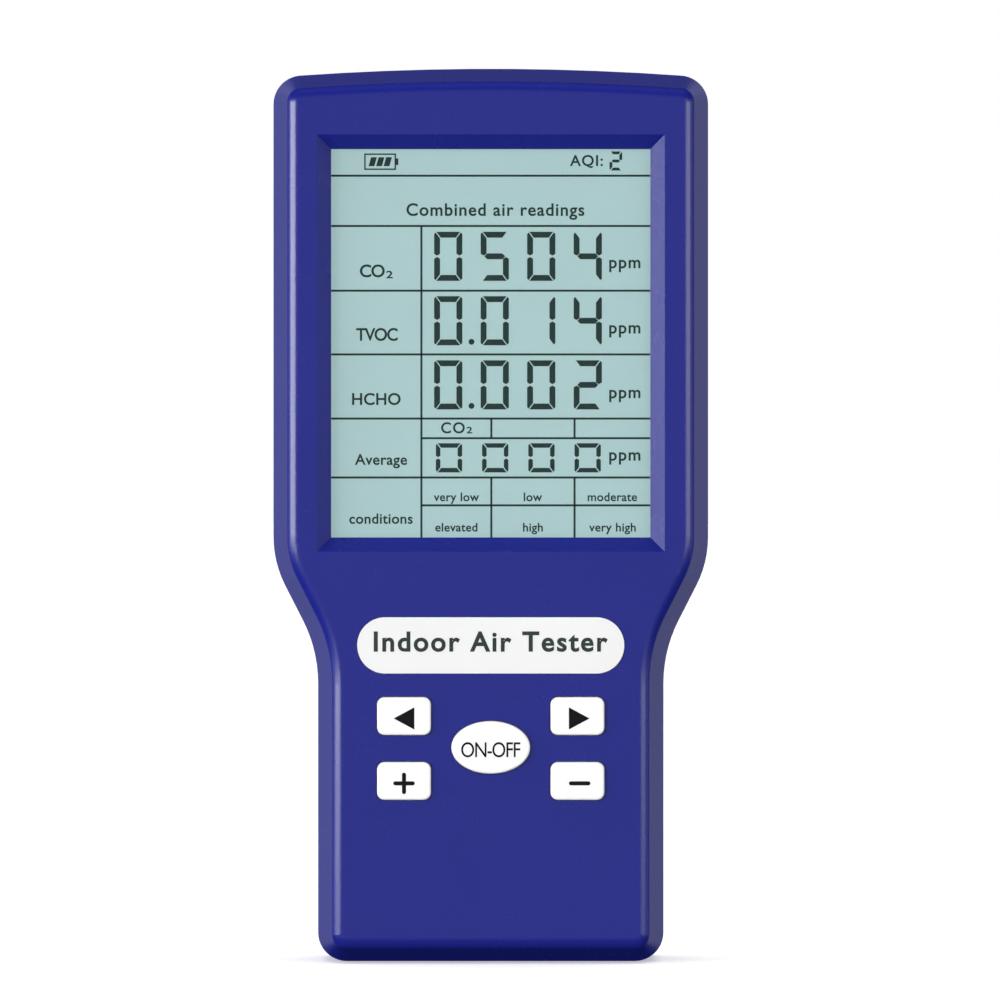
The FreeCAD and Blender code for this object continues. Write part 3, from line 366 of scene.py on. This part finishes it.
def letters(text, weight, spacing):
    """The mesh of a line of text, lying flat, with heavier strokes and wider spacing."""
    curve = bpy.data.curves.new("letters", "FONT")
    curve.body = text
    curve.offset = weight
    curve.space_character = spacing
    curve.extrude = 0.5
    curve.resolution_u = 6
    holder = add_object("letters", curve)
    bpy.context.view_layer.update()
    solved = holder.evaluated_get(bpy.context.evaluated_depsgraph_get())
    mesh = bpy.data.meshes.new_from_object(solved)
    bpy.data.objects.remove(holder)
    bpy.data.curves.remove(curve)
    return mesh


def extent(mesh):
    """The lowest corner of a mesh and its size."""
    low = Vector(min(v.co[i] for v in mesh.vertices) for i in range(3))
    high = Vector(max(v.co[i] for v in mesh.vertices) for i in range(3))
    return low, high - low


TRIAL_SPACINGS = (1, 1.5)
TIGHTEST, WIDEST = 0.9, 1.4


def fit_text(text, box, back, weight):
    """Text that fills a box (left, bottom, width, height) on a face that looks to the front.

    The letters are spaced out, or closed up a little, until their shape is natural in the box.
    """
    left, bottom, width, height = box
    close, apart = [extent(letters(text, weight, spacing))[1] for spacing in TRIAL_SPACINGS]
    wanted = width / height * close.y
    step = TRIAL_SPACINGS[1] - TRIAL_SPACINGS[0]
    spacing = TRIAL_SPACINGS[0] + step * (wanted - close.x) / max(apart.x - close.x, 0.001)
    mesh = letters(text, weight, min(max(spacing, TIGHTEST), WIDEST))
    low, size = extent(mesh)
    for vertex in mesh.vertices:
        share = [(vertex.co[i] - low[i]) / size[i] for i in range(3)]
        level = bottom + share[1] * height
        vertex.co = (left + share[0] * width, back - share[2] * INK_THICK, level)
    return mesh


def set_text(text, middle, baseline, size, back, weight):
    """Text at its natural width, centred on a place across and standing on a level."""
    mesh = letters(text, weight, 1.05)
    low, span = extent(mesh)
    for vertex in mesh.vertices:
        across = vertex.co.x - low.x - span.x / 2
        depth = (vertex.co.z - low.z) / span.z * INK_THICK
        vertex.co = (middle + across * size, back - depth, baseline + vertex.co.y * size)
    return mesh


def merge(name, meshes, body, slot):
    """Several meshes as one closed piece."""
    build = bmesh.new()
    for mesh in meshes:
        build.from_mesh(mesh)
        bpy.data.meshes.remove(mesh)
    bmesh.ops.remove_doubles(build, verts=build.verts, dist=0.0001 * MM)
    finish_piece(build, name, body, slot)


# ---------------------------------------------------------------- display


# The display's layout is in millimetres from the top left corner of the view.
WINDOW_MARGIN = Vector((1.7, 0, 1.825)) * MM
LINE = 0.36
ROWS = [4.55, 13.25, 24.45, 35.48, 46.58, 56.78]
LABEL_COLUMN = 15.6
CELL_COLUMNS = (27.7, 42.1)
SUB_ROWS = (49.98, 61.6)
SEGMENTS = {
    "0": "abcdef",
    "1": "bc",
    "2": "abged",
    "4": "fgbc",
    "5": "afgcd",
}


def view_corner():
    """The top left corner of the part of the display that shows, and its size."""
    low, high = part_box("display_window")
    low, high = low + WINDOW_MARGIN, high - WINDOW_MARGIN
    return low.x, high.z, high.x - low.x, high.z - low.z


LEFT, TOP, WIDE, TALL = view_corner()
FILM_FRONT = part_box("lcd_polariser")[0].y


def on_view(left, top, width, height):
    """The place of a box of the layout in metres, as (left, bottom, width, height)."""
    return LEFT + left * MM, TOP - (top + height) * MM, width * MM, height * MM


def grid_lines():
    """The rules between the display's cells."""
    wide, tall = WIDE / MM, TALL / MM
    rules = [(0, row, wide) for row in ROWS]
    rules += [(LABEL_COLUMN, row, wide - LABEL_COLUMN) for row in SUB_ROWS]
    boxes = [on_view(left, row - LINE / 2, width, LINE) for left, row, width in rules]
    posts = [(LABEL_COLUMN, ROWS[1], tall)]
    for column in CELL_COLUMNS:
        posts += [(column, ROWS[4], SUB_ROWS[0]), (column, ROWS[5], tall)]
    boxes += [on_view(column - LINE / 2, top, LINE, low - top) for column, top, low in posts]
    return [slanted_box(*box) for box in boxes]


def segment_outlines(width, height, bar, gap):
    """The seven bars of a digit, from its lower left corner, with mitred ends."""
    middle = height / 2
    slant = 0.25 * bar
    point = 0.3 * bar
    top = [
        (gap + slant, height),
        (width - gap - slant, height),
        (width - bar - gap, height - bar),
        (bar + gap, height - bar),
    ]
    high_left = [
        (0, height - gap - slant),
        (slant, height - gap),
        (bar, height - bar - gap),
        (bar, middle + gap + point),
        (bar / 2, middle + gap),
        (0, middle + gap + point),
    ]
    centre = [
        (bar + gap, middle + bar / 2),
        (width - bar - gap, middle + bar / 2),
        (width - bar / 2 - gap, middle),
        (width - bar - gap, middle - bar / 2),
        (bar + gap, middle - bar / 2),
        (bar / 2 + gap, middle),
    ]

    def across(outline):
        return [(width - x, z) for x, z in outline]

    def over(outline):
        return [(x, height - z) for x, z in outline]

    return {
        "a": top,
        "b": across(high_left),
        "c": across(over(high_left)),
        "d": over(top),
        "e": over(high_left),
        "f": high_left,
        "g": centre,
    }


def round_dot(left, bottom, size, count=20):
    turns = [2 * math.pi * step / count for step in range(count)]
    half = size / 2
    across, level = left + half, bottom + half
    return [(across + half * math.cos(turn), level + half * math.sin(turn)) for turn in turns]


SEGMENT_GAP = 0.12 * MM
DOT_LIFT = 0.1 * MM


def reading(text, box, pitch, bar):
    """The bars of a row of digits: box is the first digit's (left, bottom, width, height)."""
    left, bottom, width, height = box
    bars = segment_outlines(width, height, bar, SEGMENT_GAP)
    outlines = []
    for mark in text:
        if mark == ".":
            middle = left - (pitch - width) / 2
            outlines.append(round_dot(middle - bar / 2, bottom + DOT_LIFT, bar))
            continue
        for name in SEGMENTS[mark]:
            outlines.append([(left + x, bottom + z) for x, z in bars[name]])
        left += pitch
    return outlines


def battery_symbol():
    """A small battery outline with three slanted charge bars."""
    line = 0.25
    left, top, width, height = 5.7, 0.7, 5.5, 2.85
    bar_wide, bar_pitch, lean = 1.0, 1.3, 0.45
    bars_in, bars_down = 0.75, 0.65
    boxes = [
        (left, top, width, line),
        (left, top + height - line, width, line),
        (left, top, line, height),
        (left + width - line, top, line, height),
        (left + width, top + height * 0.3, line * 1.6, height * 0.4),
    ]
    outlines = [slanted_box(*on_view(*box)) for box in boxes]
    for step in range(3):
        across = left + bars_in + step * bar_pitch
        bar = on_view(across, top + bars_down, bar_wide, height - 2 * bars_down)
        outlines.append(slanted_box(*bar, lean * MM))
    return outlines


# A row of digits: its text, the first digit's left, top, width and height, the pitch and the bar.
READINGS = [
    ("0504", (17.8, 14.25, 4.88, 8.5), 8.05, 1.02),
    ("0.014", (17.8, 25.4, 4.88, 8.5), 8.05, 1.02),
    ("0.002", (17.8, 36.5, 4.88, 8.5), 8.05, 1.02),
    ("0000", (18.1, 50.85, 4.55, 5.05), 8.0, 0.78),
    ("2", (48.15, 0.35, 2.2, 3.3), 3, 0.5),
]


def make_digits():
    outlines = []
    for text, box, pitch, bar in READINGS:
        outlines += reading(text, on_view(*box), pitch * MM, bar * MM)
    return outlines


# A label fills its box of left, top, width and height. A small one has a middle, a baseline and
# a size.
LABELS = [
    ("AQI:", (41.3, 0.95, 5.7, 2.3)),
    ("Combined air readings", (13.0, 9.3, 30.8, 2.9)),
    ("CO", (4.95, 19.9, 4.3, 2.25)),
    ("2", (9.5, 21.0, 1.15, 1.3)),
    ("TVOC", (4.3, 30.9, 7.2, 2.25)),
    ("HCHO", (3.6, 42.15, 8.4, 2.1)),
    ("CO", (19.0, 47.2, 4.1, 1.95)),
    ("2", (23.4, 48.0, 1.0, 1.15)),
]
SMALL_LABELS = [("Average", 8.6, 54.55, 2.6), ("conditions", 8.6, 64.75, 2.5)]
GRADES = [("very low", "low", "moderate"), ("elevated", "high", "very high")]
GRADE_BASELINES = (60.85, 66.1)
GRADE_SIZE = 2.1
UNIT_TOPS = (19.1, 30.4, 41.6, 52.4)
LABEL_WEIGHT = 0.018


def make_labels():
    boxes = LABELS + [("ppm", (48.1, top, 5.4, 2.15)) for top in UNIT_TOPS]
    small = list(SMALL_LABELS)
    lefts = (LABEL_COLUMN, *CELL_COLUMNS)
    rights = (*CELL_COLUMNS, WIDE / MM)
    for words, baseline in zip(GRADES, GRADE_BASELINES):
        for word, left, right in zip(words, lefts, rights):
            small.append((word, (left + right) / 2, baseline, GRADE_SIZE))
    meshes = [fit_text(text, on_view(*box), FILM_FRONT, LABEL_WEIGHT) for text, box in boxes]
    for text, middle, baseline, size in small:
        across, level, height, _ = on_view(middle, baseline, size, 0)
        meshes.append(set_text(text, across, level, height, FILM_FRONT, LABEL_WEIGHT))
    return meshes


def make_display():
    marks = (
        ("display_lines", grid_lines()),
        ("display_digits", make_digits()),
        ("display_battery_symbol", battery_symbol()),
    )
    for name, outlines in marks:
        plates(name, outlines, FILM_FRONT, "case", "display_ink")
    merge("display_labels", make_labels(), "case", "display_ink")


# ---------------------------------------------------------------- legends


LEGEND_DROP = 0.4 * MM


def key_face(name):
    """The middle of a key's face: across, depth and level."""
    low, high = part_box(f"{name}_key")
    return (low.x + high.x) / 2, low.y, (low.z + high.z) / 2


def legend(name, outlines, across=0.0):
    """Printed shapes on a key's face, in millimetres from where its legend is centred."""
    middle, depth, level = key_face(name)
    middle += across * MM
    level -= LEGEND_DROP
    moved = [[(middle + x * MM, level + z * MM) for x, z in outline] for outline in outlines]
    plates(f"{name}_legend", moved, depth, f"{name}_key", "legend_ink")


def rounded_arms(length, thick, arms, count=8):
    """A bar (two arms) or a cross (four arms) with round ends, centred on the origin."""
    half = thick / 2
    reach = length / 2 - half
    arm = []
    for step in range(count + 1):
        turn = math.pi * (step / count - 0.5)
        arm.append((reach + half * math.cos(turn), half * math.sin(turn)))
    if arms == 4:
        arm.append((half, half))
    outline = []
    for index in range(arms):
        turn = 2 * math.pi * index / arms
        cosine, sine = math.cos(turn), math.sin(turn)
        outline += [(x * cosine - z * sine, x * sine + z * cosine) for x, z in arm]
    return outline


def make_legends():
    half, tall = 1.78, 1.92
    legend("left", [[(-half, 0), (half, -tall), (half, tall)]])
    legend("right", [[(half, 0), (-half, tall), (-half, -tall)]], 0.3)
    length, thick = 3.72, 0.7
    legend("plus", [rounded_arms(length, thick, 4)])
    legend("minus", [rounded_arms(length, thick, 2)], 0.38)
    middle, depth, level = key_face("power")
    width, height = 10.2 * MM, 2.63 * MM
    box = (middle - width / 2, level - LEGEND_DROP - height / 2, width, height)
    words = fit_text("ON-OFF", box, depth, 0.004)
    merge("power_legend", [words], "power_key", "legend_ink")


def make_badge_text():
    low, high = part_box("title_badge")
    width, height, lift = 40.4 * MM, 3.56 * MM, 0.65 * MM
    box = ((low.x + high.x - width) / 2, (low.z + high.z - height) / 2 + lift, width, height)
    words = fit_text("Indoor Air Tester", box, low.y, 0.025)
    merge("badge_text", [words], "case", "badge_ink")


# ---------------------------------------------------------------- light and camera


def aim(thing, place, target):
    thing.location = place
    thing.rotation_mode = "QUATERNION"
    thing.rotation_quaternion = (Vector(target) - Vector(place)).to_track_quat("-Z", "Y")


def toward(azimuth, elevation):
    """A unit vector away from the object. Azimuth 0 is in front, and 90 at the right from there."""
    turn, lift = math.radians(azimuth), math.radians(elevation)
    across, depth = math.sin(turn) * math.cos(lift), -math.cos(turn) * math.cos(lift)
    return Vector((across, depth, math.sin(lift)))


def soft_box(name, azimuth, elevation, distance, size, radiance, colour=(1, 1, 1)):
    """A rectangular light that faces the object, and shows in its reflections."""
    light = bpy.data.lights.new(name, "AREA")
    light.shape = "RECTANGLE"
    light.size, light.size_y = size
    light.energy = radiance * math.pi * size[0] * size[1]
    light.color = colour
    lamp = add_object(name, light)
    centre = (CAD_BOX[0] + CAD_BOX[1]) / 2
    aim(lamp, centre + toward(azimuth, elevation) * distance, centre)
    lamp.visible_camera = False


def soft_fill(name, azimuth, elevation, strength, spread_angle):
    """Broad light from a whole side, which shows in no reflection."""
    light = bpy.data.lights.new(name, "SUN")
    light.energy = strength
    light.angle = math.radians(spread_angle)
    lamp = add_object(name, light)
    aim(lamp, toward(azimuth, elevation), (0, 0, 0))
    lamp.visible_camera = False
    lamp.visible_glossy = False


# Azimuth and elevation in degrees, distance and size in metres, radiance, and any tint.
SOFT_BOXES = [
    ("left_box", -55, 4, 1.5, (1.53, 0.34), 14),
    ("right_box", 50, 4, 1.5, (1.34, 0.38), 5),
    ("right_card", 95, 4, 1.5, (0.8, 0.8), 0.6),
    ("left_card", -95, 4, 1.5, (0.8, 0.8), 1.3, (0.85, 0.9, 1)),
    ("front_card", 0, 4, 3.0, (2.4, 2.4), 0.42),
    ("back_left_card", -148, 4, 1.8, (1.3, 1.6), 0.3),
    ("back_right_card", 148, 4, 1.8, (1.3, 1.6), 0.3),
    ("back_top_card", 180, 31, 1.8, (2, 0.9), 0.1),
]
# Azimuth, elevation, strength and the angle that the light comes from, in degrees.
SOFT_FILLS = [
    ("front_fill", 0, 8, 0.7, 170),
    ("back_fill", 180, 8, 1.7, 170),
    ("top_fill", 0, 89.9, 1.7, 60),
    ("low_fill", 0, -45, 0.6, 90),
]


def make_light():
    for box in SOFT_BOXES:
        soft_box(*box)
    for fill in SOFT_FILLS:
        soft_fill(*fill)


def make_world():
    """A white background that lights nothing and shows in no reflection."""
    world = bpy.data.worlds.new("studio")
    bpy.context.scene.world = world
    world.use_nodes = True
    background = world.node_tree.nodes["Background"]
    background.inputs["Color"].default_value = (1, 1, 1, 1)
    background.inputs["Strength"].default_value = 1.0
    world.cycles_visibility.diffuse = False
    world.cycles_visibility.glossy = False


FLOOR_REACH = 30


def make_floor():
    """A large pale floor that the monitor stands on, bright enough to meet the background."""
    glow = {"Emission_Color": (1, 1, 1, 1), "Emission_Strength": 0.38}
    material = new_material("floor_white", (0.86, 0.86, 0.86), 0.75, **glow)
    vary_roughness(material, noise(material, 20 * MM, 3), 0.7, 0.8)
    build = bmesh.new()
    corners = ((-1, -1), (1, -1), (1, 1), (-1, 1))
    level = CAD_BOX[0].z
    places = [(x * FLOOR_REACH, y * FLOOR_REACH, level) for x, y in corners]
    build.faces.new([build.verts.new(place) for place in places])
    mesh = bpy.data.meshes.new("floor")
    build.to_mesh(mesh)
    build.free()
    mesh.materials.append(material)
    floor = add_object("floor", mesh)
    floor.visible_diffuse = False
    floor.visible_glossy = False
    floor.visible_shadow = False


FRAME_WIDTH = 173.57 * MM
CAMERA_DISTANCE = 1.7
CAMERA_ACROSS = 1.6 * MM
CAMERA_LEVEL = 80.1 * MM
SENSOR = 36


def make_camera():
    """Straight on from the front, through a long lens."""
    data = bpy.data.cameras.new("camera")
    data.sensor_width = SENSOR
    data.lens = SENSOR * CAMERA_DISTANCE / FRAME_WIDTH
    data.clip_end = 100
    camera = add_object("camera", data)
    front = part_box("rear_shell")[0].y
    place = (CAMERA_ACROSS, front - CAMERA_DISTANCE, CAMERA_LEVEL)
    aim(camera, place, (CAMERA_ACROSS, 0, CAMERA_LEVEL))
    bpy.context.scene.camera = camera


dress_frame()
make_display()
make_legends()
make_badge_text()
make_light()
make_world()
make_floor()
make_camera()
bpy.context.scene.view_settings.view_transform = "Standard"
